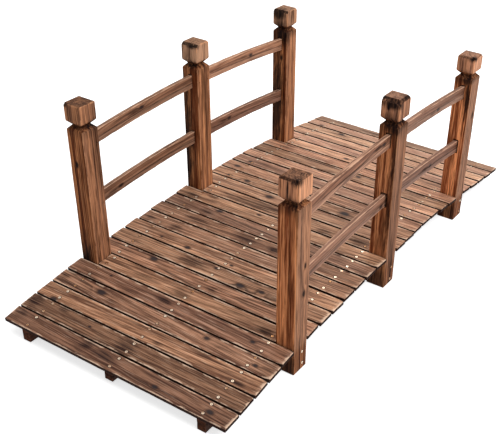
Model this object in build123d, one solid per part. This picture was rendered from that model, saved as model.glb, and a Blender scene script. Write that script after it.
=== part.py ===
from build123d import *
import math
import os

# Moon bridge of stained fir for a garden: arched deck on three stringers, six posts, two rails a side.
# Millimetres. X runs along the bridge, Y across it, Z is up, and Z = 0 is the ground.

# deck
deck_length = 1481.0
deck_width = 686.0
deck_radius = 4860.0
crown_height = 100.0
board_count = 27
board_gap = 3.6
board_thickness = 10.0
board_edge_chamfer = 0.8
board_seat = 0.1

# posts
post_size = 53.0
neck_height_above_deck = 395.0
post_inset = 4.5
post_edge_chamfer = 1.2
post_board_clearance = 1.5
end_board_count = 5
groove_height = 22.0
groove_depth = 11.0
cap_heights = {
    "post_near_left": 46.0, "post_middle_left": 49.0, "post_far_left": 46.0,
    "post_near_right": 48.0, "post_middle_right": 52.0, "post_far_right": 43.0,
}
# each block is bevelled by hand: far, left, near and right edge of its top
cap_bevels = {
    "post_near_left": (1.5, 1.5, 2.5, 1.5), "post_middle_left": (4.0, 2.0, 8.0, 1.5),
    "post_far_left": (2.0, 3.0, 7.0, 2.0), "post_near_right": (3.0, 3.0, 6.0, 1.5),
    "post_middle_right": (4.0, 2.0, 10.0, 8.0), "post_far_right": (4.0, 2.0, 6.0, 3.0),
}

# stringers
stringer_thickness = 24.0
stringer_crown_depth = 62.0
stringer_foot_length = 60.0
stringer_end_setback = 4.0
middle_stringer_lift = 10.0

# rails
rail_height = 36.0
rail_thickness = 12.0
rail_curve_radius = 4000.0
rail_edge_chamfer = 1.8
top_rail_below_neck = 60.0
lower_rail_share = 0.494
mortise_depth = 20.0
mortise_corner_radius = 3.0
mortise_side_clearance = 1.5
mortise_top_clearance = 4.0
rail_seat = 0.2
rail_end_clearance = 1.5
rail_screw_hole_diameter = 4.0
rail_screw_hole_inset = 8.0

# places that follow from the sizes above
half_length = deck_length / 2
arch_length = 2 * deck_radius * math.asin(half_length / deck_radius)
board_pitch = (arch_length + board_gap) / board_count
board_width = board_pitch - board_gap
board_step_angle = board_pitch / deck_radius
post_board_numbers = {
    "near": end_board_count + 1,
    "middle": (board_count + 1) // 2,
    "far": board_count - end_board_count,
}
arch_centre_z = crown_height - deck_radius
stringer_top_radius = deck_radius - board_thickness - board_seat
post_outer_y = deck_width / 2 - post_inset
post_inner_y = post_outer_y - post_size
post_centre_y = post_outer_y - post_size / 2
stringer_y = post_inner_y - stringer_thickness / 2
top_rail_level = neck_height_above_deck - top_rail_below_neck
rail_levels = {"top_rail": top_rail_level, "lower_rail": top_rail_level * lower_rail_share}
sides = {"left": 1, "right": -1}
face_turns = (0, 90, 180, 270)


def arc_z(radius, x, centre_z=arch_centre_z):
    """Height of an arc at a distance along the bridge, about the deck's centre unless another is given."""
    return centre_z + math.sqrt(radius ** 2 - x ** 2)


def board_angle(number):
    """Tilt of a board about Y, in radians, measured from the crown."""
    return (number - (board_count + 1) / 2) * board_step_angle


def board_x(number):
    """Distance along the bridge of the middle of a board's top."""
    return deck_radius * math.sin(board_angle(number))


post_x = {place: board_x(number) for place, number in post_board_numbers.items()}


def arc_edge(radius, x_start, x_end, centre_z=arch_centre_z):
    """Arc between two distances along the bridge, about the deck's centre unless another is given."""
    x_middle = (x_start + x_end) / 2
    points = [(x, arc_z(radius, x, centre_z)) for x in (x_start, x_middle, x_end)]
    return ThreePointArc(*points)


def deck_board(number):
    """One flat board, tangent to the arch, shortened where it lies between two posts."""
    length = deck_width
    if number in post_board_numbers.values():
        length = 2 * (post_inner_y - post_board_clearance)
    board = Box(board_width, length, board_thickness)
    board = chamfer(board.faces().sort_by(Axis.Z)[-1].edges(), board_edge_chamfer)
    angle = board_angle(number)
    middle_radius = deck_radius - board_thickness / 2
    middle_x = middle_radius * math.sin(angle)
    middle_z = arch_centre_z + middle_radius * math.cos(angle)
    return Pos(middle_x, 0, middle_z) * Rot(0, math.degrees(angle), 0) * board


def stringer(y, lift):
    """Sawn plank with the deck's arch on top and a shallow arch between two flat feet."""
    end_x = half_length - stringer_end_setback
    foot_x = end_x - stringer_foot_length
    crown_underside = arc_z(stringer_top_radius, 0) - stringer_crown_depth + lift
    outline = [
        arc_edge(stringer_top_radius, -end_x, end_x),
        Line((end_x, arc_z(stringer_top_radius, end_x)), (end_x, lift)),
        Line((end_x, lift), (foot_x, lift)),
        ThreePointArc((foot_x, lift), (0, crown_underside), (-foot_x, lift)),
        Line((-foot_x, lift), (-end_x, lift)),
        Line((-end_x, lift), (-end_x, arc_z(stringer_top_radius, -end_x))),
    ]
    plank = extrude(Plane.XZ * make_face(outline), stringer_thickness / 2, both=True)
    return Pos(0, y, 0) * plank


def rail_centre_z(level):
    """Centre of a rail's curve: all eight rails are sawn to one radius."""
    return crown_height + rail_levels[level] - rail_curve_radius


def rail_span(bay):
    """Start and end of a rail along the bridge, inside the mortises of its two posts."""
    first, last = {"near": ("near", "middle"), "far": ("middle", "far")}[bay]
    reach = post_size / 2 - mortise_depth + rail_end_clearance
    return post_x[first] + reach, post_x[last] - reach


def rail(level, bay, side):
    """Arched bar with eased long edges, curved a little more than the deck."""
    centre_z = rail_centre_z(level)
    top_radius = rail_curve_radius + rail_height / 2
    bottom_radius = rail_curve_radius - rail_height / 2
    x_start, x_end = rail_span(bay)
    start_top, start_bottom = (arc_z(radius, x_start, centre_z) for radius in (top_radius, bottom_radius))
    end_top, end_bottom = (arc_z(radius, x_end, centre_z) for radius in (top_radius, bottom_radius))
    outline = [
        arc_edge(top_radius, x_start, x_end, centre_z),
        Line((x_end, end_top), (x_end, end_bottom)),
        arc_edge(bottom_radius, x_start, x_end, centre_z),
        Line((x_start, start_bottom), (x_start, start_top)),
    ]
    bar = extrude(Plane.XZ * make_face(outline), rail_thickness / 2, both=True)
    long_edges = bar.edges().filter_by(GeomType.CIRCLE)
    bar = chamfer(long_edges, rail_edge_chamfer)
    return Pos(0, sides[side] * post_centre_y, 0) * bar


def mortise(level, place, facing):
    """Round-cornered pocket in a post's face, facing -1 towards the near end and 1 towards the far end."""
    face_x = post_x[place] + facing * post_size / 2
    deep_x = face_x - facing * mortise_depth
    centre_z = rail_centre_z(level)
    bottom_radius = rail_curve_radius - rail_height / 2
    top_radius = rail_curve_radius + rail_height / 2
    floor_z = min(arc_z(bottom_radius, x, centre_z) for x in (face_x, deep_x)) - rail_seat
    roof_z = max(arc_z(top_radius, x, centre_z) for x in (face_x, deep_x)) + mortise_top_clearance
    width = rail_thickness + 2 * mortise_side_clearance
    slot = Plane.YZ * RectangleRounded(width, roof_z - floor_z, mortise_corner_radius)
    pocket = extrude(slot, mortise_depth / 2, both=True)
    return Pos((face_x + deep_x) / 2, 0, (floor_z + roof_z) / 2) * pocket


def rail_screw_hole(level, place, facing, side):
    """Drilled hole from the walkway face of a post into the mortise of one rail end."""
    x = post_x[place] + facing * (post_size / 2 - rail_screw_hole_inset)
    z = arc_z(rail_curve_radius, x, rail_centre_z(level))
    depth = post_size / 2
    hole = Rot(90, 0, 0) * Cylinder(rail_screw_hole_diameter / 2, depth)
    return Pos(x, -sides[side] * depth / 2, z) * hole


def face_cutter(profile, height_above_ground, turn):
    """Prism that cuts one profile into the post face that looks in the direction of the turn."""
    cutter = extrude(Plane.XZ * make_face(Polyline(*profile, close=True)), post_size, both=True)
    return Pos(0, 0, height_above_ground) * Rot(0, 0, turn) * cutter


def neck_groove(neck_z):
    """V-shaped groove that ends at the underside of the block on a post's top."""
    face = post_size / 2
    profile = [
        (face - groove_depth, 0), (face + groove_depth, groove_height), (face + groove_depth, -groove_height)]
    return [face_cutter(profile, neck_z - groove_height / 2, turn) for turn in face_turns]


def cap_bevel(top_z, sizes):
    """Slopes taken off the four top edges of a post's block."""
    face = post_size / 2
    cutters = []
    for turn, size in zip(face_turns, sizes):
        profile = [(face - 2 * size, size), (face + size, size), (face + size, -2 * size)]
        cutters.append(face_cutter(profile, top_z, turn))
    return cutters


def post(place, side):
    """Square post with a grooved neck, a bevelled block on top, and mortises for its rails."""
    name = f"post_{place}_{side}"
    neck_z = arc_z(deck_radius, post_x[place]) + neck_height_above_deck
    top_z = neck_z + cap_heights[name]
    shaft = Pos(0, 0, top_z / 2) * Box(post_size, post_size, top_z)
    shaft = chamfer(shaft.edges().filter_by(Axis.Z), post_edge_chamfer)
    shaft -= neck_groove(neck_z)
    shaft -= cap_bevel(top_z, cap_bevels[name])
    shaft = Pos(post_x[place], 0, 0) * shaft
    facings = {"near": [1], "middle": [-1, 1], "far": [-1]}[place]
    for level in rail_levels:
        for facing in facings:
            shaft -= mortise(level, place, facing)
            shaft -= rail_screw_hole(level, place, facing, side)
    return Pos(0, sides[side] * post_centre_y, 0) * shaft


def bridge():
    """Every piece of the bridge under its node name."""
    pieces = {}
    for number in range(1, board_count + 1):
        pieces[f"deck_board_{number:02d}"] = deck_board(number)
    pieces["stringer_left"] = stringer(stringer_y, 0)
    pieces["stringer_middle"] = stringer(0, middle_stringer_lift)
    pieces["stringer_right"] = stringer(-stringer_y, 0)
    for side in sides:
        for place in post_board_numbers:
            pieces[f"post_{place}_{side}"] = post(place, side)
        for level in rail_levels:
            for bay in ("near", "far"):
                pieces[f"{level}_{bay}_{side}"] = rail(level, bay, side)
    return pieces


os.makedirs("parts", exist_ok=True)
for node, shape in bridge().items():
    export_step(shape, f"parts/{node}.step")
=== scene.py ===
import math
import random

import bmesh
import bpy
import numpy as np
from mathutils import Matrix, Vector, noise


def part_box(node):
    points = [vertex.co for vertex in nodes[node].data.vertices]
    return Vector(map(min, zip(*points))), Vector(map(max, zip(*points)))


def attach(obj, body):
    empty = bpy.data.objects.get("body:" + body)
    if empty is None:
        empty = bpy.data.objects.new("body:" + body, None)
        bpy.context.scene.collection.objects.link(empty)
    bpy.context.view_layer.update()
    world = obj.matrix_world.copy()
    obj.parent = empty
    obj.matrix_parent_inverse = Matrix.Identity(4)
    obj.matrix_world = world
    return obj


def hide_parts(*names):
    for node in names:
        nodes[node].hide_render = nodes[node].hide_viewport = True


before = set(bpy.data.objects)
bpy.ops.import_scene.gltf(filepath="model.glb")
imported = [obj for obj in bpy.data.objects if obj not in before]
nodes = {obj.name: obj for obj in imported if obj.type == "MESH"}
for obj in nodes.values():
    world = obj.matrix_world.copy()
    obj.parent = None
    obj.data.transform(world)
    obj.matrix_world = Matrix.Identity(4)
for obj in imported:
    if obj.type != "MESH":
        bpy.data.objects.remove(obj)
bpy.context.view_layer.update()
print("frame loaded:", len(nodes), "nodes")


# Frame measures

mm = 0.001
nearly = 0.1 * mm  # corners of the frame this close together count as level
shortShare = 0.95  # a board shorter than this share of the deck's width lies between two posts
deckNames = sorted(name for name in nodes if name.startswith("deck_board"))
postNames = sorted(name for name in nodes if name.startswith("post_"))
railNames = sorted(name for name in nodes if "_rail_" in name)
stringerNames = sorted(name for name in nodes if name.startswith("stringer"))


def boxCentre(name):
    low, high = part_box(name)
    return (low + high) / 2


def boxSize(name):
    low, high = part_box(name)
    return high - low


def nodePoints(name):
    return [v.co for v in nodes[name].data.vertices]


def boardTilt(name):
    # the largest face that looks up gives the board's lean along the arch
    best = max((p for p in nodes[name].data.polygons if p.normal.z > 0.5), key=lambda p: p.area)
    return math.atan2(best.normal.x, best.normal.z)


firstBoard, crownBoard = deckNames[0], deckNames[len(deckNames) // 2]
boardWidth = boxSize(crownBoard).x
boardThickness = boxSize(crownBoard).z
deckWidth = boxSize(firstBoard).y
archCentreZ = boxCentre(firstBoard).z - boxCentre(firstBoard).x / math.tan(boardTilt(firstBoard))


def betweenPosts(name):
    return boxSize(name).y < shortShare * deckWidth


def railArc(name):
    # the centre height and the top and bottom radius of a rail's curve, from its two ends
    points = nodePoints(name)
    low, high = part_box(name)
    starts = [p for p in points if p.x < low.x + nearly]
    ends = [p for p in points if p.x > high.x - nearly]
    startTop, endTop = (max(group, key=lambda p: p.z) for group in (starts, ends))
    bottom = min(starts, key=lambda p: p.z)
    squares = startTop.x ** 2 + startTop.z ** 2 - endTop.x ** 2 - endTop.z ** 2
    centreZ = squares / (2 * (startTop.z - endTop.z))
    return centreZ, math.hypot(startTop.x, startTop.z - centreZ), math.hypot(bottom.x, bottom.z - centreZ)


def arcZ(centreZ, radius, x):
    return centreZ + math.sqrt(radius * radius - x * x)


def pieceName(node):
    # top_rail_near_left becomes topRailNearLeft
    first, *others = node.split("_")
    return first + "".join(word.title() for word in others)


def addObject(name, data):
    thing = bpy.data.objects.new(name, data)
    bpy.context.scene.collection.objects.link(thing)
    return thing


# Node helpers

class NodePen:
    # adds nodes to one tree, fills their sockets with values or links them to other sockets
    def __init__(self, tree):
        self.tree = tree
        self.column = 0

    def feed(self, socket, value):
        if isinstance(value, bpy.types.NodeSocket):
            self.tree.links.new(value, socket)
        elif value is not None:
            socket.default_value = value

    def add(self, kind, *values, named=None, **settings):
        node = self.tree.nodes.new(kind)
        self.column += 1
        node.location = (self.column * 170, -40 * (self.column % 5))
        for key, value in settings.items():
            setattr(node, key, value)
        for socket, value in zip(node.inputs, values):
            self.feed(socket, value)
        for key, value in (named or {}).items():
            self.feed(node.inputs[key], value)
        return node

    def group(self, tree, values):
        return self.add("ShaderNodeGroup", node_tree=tree, named=values).outputs

    def maths(self, operation, *terms):
        return self.add("ShaderNodeMath", *terms, operation=operation).outputs[0]

    def plus(self, first, *others):
        return self.maths("ADD", first, self.plus(*others)) if others else first

    def minus(self, first, second):
        return self.maths("SUBTRACT", first, second)

    def times(self, first, second):
        return self.maths("MULTIPLY", first, second)

    def swing(self, value, reach):
        # a value from 0 to 1 swings to both sides of 0
        return self.times(self.minus(value, 0.5), reach)

    def largest(self, first, *others):
        return self.maths("MAXIMUM", first, self.largest(*others)) if others else first

    def vectors(self, operation, *terms):
        node = self.add("ShaderNodeVectorMath", *terms, operation=operation)
        return node.outputs["Value" if operation == "LENGTH" else "Vector"]

    def scaled(self, vector, factor):
        node = self.add("ShaderNodeVectorMath", vector, operation="SCALE", named={"Scale": factor})
        return node.outputs["Vector"]

    def stretched(self, vector, factors):
        return self.vectors("MULTIPLY", vector, factors)

    def split(self, vector):
        return self.add("ShaderNodeSeparateXYZ", vector).outputs

    def join(self, x, y, z):
        return self.add("ShaderNodeCombineXYZ", x, y, z).outputs[0]

    def noise(self, vector, scale=1.0, detail=2.0, roughness=0.5):
        values = {"Vector": vector, "Scale": scale, "Detail": detail, "Roughness": roughness}
        return self.add("ShaderNodeTexNoise", named=values).outputs[0]

    def ramp(self, value, low, high, start=0.0, end=1.0):
        node = self.add("ShaderNodeMapRange", value, low, high, start, end, interpolation_type="SMOOTHSTEP")
        return node.outputs[0]

    def blend(self, factor, first, second, how="MIX"):
        node = self.add("ShaderNodeMix", data_type="RGBA", blend_type=how)
        for index, value in ((0, factor), (6, first), (7, second)):
            self.feed(node.inputs[index], value)
        return node.outputs[2]

    def attribute(self, name):
        return self.add("ShaderNodeAttribute", attribute_name=name).outputs


def newGroup(name, kind, inputs, outputs):
    # an input is written as its socket type, or as its usual value where that is a number
    tree = bpy.data.node_groups.new(name, kind)
    for label, value in inputs.items():
        typeName = value if isinstance(value, str) else "Int" if isinstance(value, int) else "Float"
        socket = tree.interface.new_socket(label, in_out="INPUT", socket_type="NodeSocket" + typeName)
        if typeName != value:
            socket.default_value = value
    for label, typeName in outputs.items():
        tree.interface.new_socket(label, in_out="OUTPUT", socket_type="NodeSocket" + typeName)
    pen = NodePen(tree)
    source = pen.add("NodeGroupInput").outputs
    sink = pen.add("NodeGroupOutput").inputs
    return pen, source, sink


def newMaterial(name):
    material = bpy.data.materials.new(name)
    material.use_nodes = True
    return material, NodePen(material.node_tree), material.node_tree.nodes.get("Principled BSDF").inputs


def paint(red, green, blue):
    # an 8 bit screen colour as the linear colour that sockets hold
    linear = [((c / 255 + 0.055) / 1.055) ** 2.4 for c in (red, green, blue)]
    return (*linear, 1.0)


# Wood shader groups. A stretch is a noise scale along the grain and across it.

ringFigure = {
    "runOut": 0.12, "seedShift": 9.0, "bendStretch": (2.2, 9.0, 9.0), "bend": 4.0, "pithSpread": 85 * mm,
    "pithLean": 0.1, "flutterStretch": (14.0, 120.0, 120.0), "flutter": 0.7, "phaseShift": 20.0,
    "darkening": (0.25, 0.82), "ending": (0.86, 1.0), "strengthSpan": (0.1, 0.9), "faintest": 0.15,
    "breakStretch": (6.0, 45.0, 45.0), "breakSpan": (0.36, 0.64), "streakAlong": 1.8, "streakAcross": 105.0,
    "fibreStretch": (14.0, 340.0, 340.0), "patchStretch": (2.6, 26.0, 26.0),
}


def growthRings():
    # rings about a pith line beside the timber, so faces show cathedral figure and ends show arcs
    pen, source, sink = newGroup(
        "growthRings", "ShaderNodeTree",
        {"Place": "Vector", "Seed": "Vector", "Swirl": 0.0, "Ring Width": 4.0 * mm, "Wobble": 6.0 * mm,
         "Pith Depth": 45.0 * mm, "Fineness": 1.0},
        {"Rings": "Float", "Streak": "Float", "Fibre": "Float", "Patch": "Float"})
    x, y, z = pen.split(source["Place"])
    seedX, seedY, seedZ = pen.split(source["Seed"])
    # the grain runs out at the timber's edges
    y = pen.maths("MULTIPLY_ADD", x, pen.swing(seedZ, ringFigure["runOut"]), y)
    shifted = pen.vectors("ADD", pen.join(x, y, z), pen.scaled(source["Seed"], ringFigure["seedShift"]))

    slow = pen.noise(pen.stretched(shifted, ringFigure["bendStretch"]))
    bend = pen.swing(slow, pen.times(source["Wobble"], ringFigure["bend"]))
    fromPith = pen.plus(pen.minus(y, pen.swing(seedX, ringFigure["pithSpread"])), bend)
    lean = pen.times(x, pen.swing(seedY, ringFigure["pithLean"]))
    abovePith = pen.maths("ADD", pen.plus(z, source["Pith Depth"]), lean)
    radius = pen.plus(pen.vectors("LENGTH", pen.join(fromPith, abovePith, 0.0)), source["Swirl"])
    quick = pen.noise(pen.stretched(shifted, ringFigure["flutterStretch"]))
    flutter = pen.swing(quick, ringFigure["flutter"])
    phase = pen.plus(pen.maths("DIVIDE", radius, source["Ring Width"]), flutter)
    phase = pen.plus(phase, pen.times(seedZ, ringFigure["phaseShift"]))
    part = pen.maths("FRACT", phase)
    lateWood = pen.times(pen.ramp(part, *ringFigure["darkening"]),
                         pen.ramp(part, *ringFigure["ending"], 1.0, 0.0))
    ringNumber = pen.maths("FLOOR", phase)
    strength = pen.add("ShaderNodeTexWhiteNoise", None, ringNumber, noise_dimensions="1D").outputs[0]
    comeAndGo = pen.noise(pen.stretched(shifted, ringFigure["breakStretch"]))
    strength = pen.times(pen.ramp(strength, *ringFigure["strengthSpan"], ringFigure["faintest"]),
                         pen.ramp(comeAndGo, *ringFigure["breakSpan"], ringFigure["faintest"]))
    pen.feed(sink["Rings"], pen.times(lateWood, strength))
    across = pen.times(source["Fineness"], ringFigure["streakAcross"])
    streaks = pen.stretched(shifted, pen.join(ringFigure["streakAlong"], across, across))
    pen.feed(sink["Streak"], pen.noise(streaks, detail=4.0, roughness=0.68))
    fibres = pen.stretched(shifted, ringFigure["fibreStretch"])
    pen.feed(sink["Fibre"], pen.noise(fibres, detail=3.0, roughness=0.65))
    patches = pen.stretched(shifted, ringFigure["patchStretch"])
    pen.feed(sink["Patch"], pen.noise(patches, detail=3.0, roughness=0.6))
    return pen.tree


knotFigure = {"rough": 130.0, "raggedness": 0.5, "heart": (0.6, 1.5), "rim": (0.9, 2.3), "swirl": (0.2, 4.0)}


def knotMark():
    # one knot: dark heart, darker rim, and a bulge that the rings flow around
    pen, source, sink = newGroup(
        "knotMark", "ShaderNodeTree", {"Offset": "Vector", "Place": "Vector", "Bulge": 5.0 * mm},
        {"Heart": "Float", "Rim": "Float", "Swirl": "Float"})
    ragged = pen.noise(pen.scaled(source["Place"], knotFigure["rough"]))
    reach = pen.plus(pen.vectors("LENGTH", source["Offset"]), pen.times(ragged, knotFigure["raggedness"]))
    reach = pen.minus(reach, knotFigure["raggedness"] / 2)
    pen.feed(sink["Heart"], pen.ramp(reach, *knotFigure["heart"], 1.0, 0.0))
    pen.feed(sink["Rim"], pen.ramp(reach, *knotFigure["rim"], 1.0, 0.0))
    pen.feed(sink["Swirl"], pen.times(pen.ramp(reach, *knotFigure["swirl"], 1.0, 0.0), source["Bulge"]))
    return pen.tree


scorchFigure = {"stretch": (30.0, 170.0, 170.0), "raggedness": 1.3, "edge": (0.85, 1.75)}


def scorchMark():
    # one burnt patch with a ragged edge that runs out along the grain
    pen, source, sink = newGroup(
        "scorchMark", "ShaderNodeTree", {"Offset": "Vector", "Place": "Vector"}, {"Mask": "Float"})
    ragged = pen.noise(pen.stretched(source["Place"], scorchFigure["stretch"]), detail=3.0, roughness=0.6)
    reach = pen.plus(pen.vectors("LENGTH", source["Offset"]), pen.times(ragged, scorchFigure["raggedness"]))
    pen.feed(sink["Mask"], pen.ramp(reach, *scorchFigure["edge"], 1.0, 0.0))
    return pen.tree


wearFigure = {
    "seedShift": 7.0, "stretch": (26.0, 60.0, 60.0), "breakSpan": (0.35, 0.7), "widthSpan": (0.05, 1.6),
    "leastWidth": 0.1 * mm, "rimWander": 3 * mm, "rimCore": 0.3, "sideSpan": (0.25 * mm, 0.9 * mm),
}


def edgeWear():
    # how near a point lies to the nearest arris of its timber, broken up by noise, and a mask of painted gap
    # shade: the sides and ends below the top face, and a strip beside the long edges
    pen, source, sink = newGroup(
        "edgeWear", "ShaderNodeTree",
        {"Place": "Vector", "Half Size": "Vector", "Width": 4.0 * mm, "Rim": 1.3 * mm, "Seed": "Vector"},
        {"Wear": "Float", "Depth": "Float"})
    reach = pen.vectors("ABSOLUTE", source["Place"])
    a, b, c = pen.split(pen.vectors("SUBTRACT", source["Half Size"], reach))
    least = pen.maths("MINIMUM", a, pen.maths("MINIMUM", b, c))
    middle = pen.minus(pen.plus(a, b, c), pen.plus(least, pen.largest(a, b, c)))
    shifted = pen.vectors("ADD", source["Place"], pen.scaled(source["Seed"], wearFigure["seedShift"]))
    breakUp = pen.noise(pen.stretched(shifted, wearFigure["stretch"]), detail=3.0, roughness=0.6)
    width = pen.times(source["Width"], pen.ramp(breakUp, *wearFigure["breakSpan"], *wearFigure["widthSpan"]))
    near = pen.maths("DIVIDE", middle, pen.largest(width, wearFigure["leastWidth"]))
    pen.feed(sink["Wear"], pen.ramp(near, 0.0, 1.0, 1.0, 0.0))
    # painted shade: the sides and ends below the top face go dark as shade down the gaps between boards, and
    # a wandering strip beside each long edge goes dark with them, partly as burnt edge
    below = pen.split(pen.vectors("SUBTRACT", source["Half Size"], source["Place"]))[2]
    rim = pen.plus(b, pen.times(pen.minus(0.5, breakUp), wearFigure["rimWander"]))
    gapEdgeShade = pen.ramp(rim, pen.times(source["Rim"], wearFigure["rimCore"]), source["Rim"], 1.0, 0.0)
    pen.feed(sink["Depth"], pen.largest(pen.ramp(below, *wearFigure["sideSpan"]), gapEdgeShade))
    return pen.tree


ringGroup, knotGroup, scorchGroup, wearAndGapShadeGroup = growthRings(), knotMark(), scorchMark(), edgeWear()
knotSlots = ("knotOne", "knotTwo", "knotThree")
scorchSlots = ("scorchOne", "scorchTwo", "scorchThree")
noMark = (9.0, 9.0, 9.0)  # an offset so far off that the mark never shows


# Materials

# In each look, side is painted shade: the near-black of a board's sides, ends and gap edges, for the shade
# down the gaps between boards
deckLook = {
    "pale": paint(208, 152, 116), "brown": paint(112, 70, 49), "line": paint(40, 18, 10),
    "scorch": paint(34, 27, 29), "worn": paint(250, 214, 184), "faded": paint(204, 160, 132),
    "side": paint(30, 9, 4), "ringWidth": 5.5 * mm, "pithDepth": 38 * mm, "lineShare": 0.72,
    "fibreShare": 0.7, "patchShare": 0.4, "streakSpan": (0.38, 0.62), "wearWidth": 5.0 * mm,
    "wearShare": 0.8, "sideShare": 0.98, "scorchShare": 0.85, "fineness": 1.5, "glintShare": 0.4,
    "scorchGrain": 0.6, "roughness": (0.55, 0.75), "relief": 0.35 * mm,
}
# In the posts' look the scorch colour also draws painted shade in mortises, holes and at the feet, and the
# faded colour also draws the painted sheen on the right faces
postLook = {
    "pale": paint(236, 156, 102), "brown": paint(128, 68, 38), "line": paint(42, 16, 7),
    "scorch": paint(12, 9, 11), "worn": paint(226, 162, 118), "faded": paint(214, 166, 134),
    "side": paint(60, 30, 18), "ringWidth": 6.0 * mm, "pithDepth": 42 * mm, "lineShare": 0.86,
    "fibreShare": 0.7, "patchShare": 0.55, "streakSpan": (0.4, 0.59), "wearWidth": 2.4 * mm,
    "wearShare": 0.6, "sideShare": 0.0, "scorchShare": 0.97, "fineness": 0.9, "glintShare": 0.35,
    "scorchGrain": 0.12, "roughness": (0.5, 0.7), "relief": 0.4 * mm,
}
railLook = {
    "pale": paint(214, 156, 122), "brown": paint(156, 104, 78), "line": paint(54, 27, 18),
    "scorch": paint(34, 22, 20), "worn": paint(228, 182, 152), "faded": paint(214, 170, 144),
    "side": paint(60, 30, 18), "ringWidth": 6.5 * mm, "pithDepth": 30 * mm, "lineShare": 0.8,
    "fibreShare": 0.6, "patchShare": 0.35, "streakSpan": (0.36, 0.64), "wearWidth": 2.0 * mm,
    "wearShare": 0.6, "sideShare": 0.0, "scorchShare": 0.8, "fineness": 1.0, "glintShare": 0.25,
    "scorchGrain": 0.5, "roughness": (0.5, 0.7), "relief": 0.3 * mm,
}
stringerLook = {
    "pale": paint(112, 68, 46), "brown": paint(74, 38, 24), "line": paint(32, 15, 9),
    "scorch": paint(20, 13, 11), "worn": paint(124, 78, 54), "faded": paint(118, 80, 60),
    "side": paint(50, 26, 17), "ringWidth": 5.0 * mm, "pithDepth": 50 * mm, "lineShare": 0.8,
    "fibreShare": 0.6, "patchShare": 0.45, "streakSpan": (0.36, 0.62), "wearWidth": 2.5 * mm,
    "wearShare": 0.3, "sideShare": 0.0, "scorchShare": 0.8, "fineness": 1.0, "glintShare": 0.1,
    "scorchGrain": 0.5, "roughness": (0.6, 0.8), "relief": 0.4 * mm,
}
# What all four kinds of timber share. A span is the stretch of a noise over which a colour comes in.
timberMix = {
    "hardGrain": (0.36, 0.6), "fadedShare": 0.8, "fadedWear": 1.3, "rimWidth": 1.5 * mm,
    "fadedRim": 4.5 * mm, "fibreSpan": (0.45, 0.68), "glintSpan": (0.3, 0.46), "patchSpan": (0.52, 0.72),
    "darkest": 0.5, "toneRange": 0.9, "greenSpan": (0.97, 1.0), "blueSpan": (0.95, 1.02), "rimShare": 0.55,
    "heartShare": 0.9, "roughSpan": (0.2, 0.8), "gloss": 0.18, "burntGloss": 0.03, "ringRelief": -0.6,
    "fibreRelief": 0.35, "knotRelief": 0.8, "bumpStrength": 0.8,
}


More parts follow.
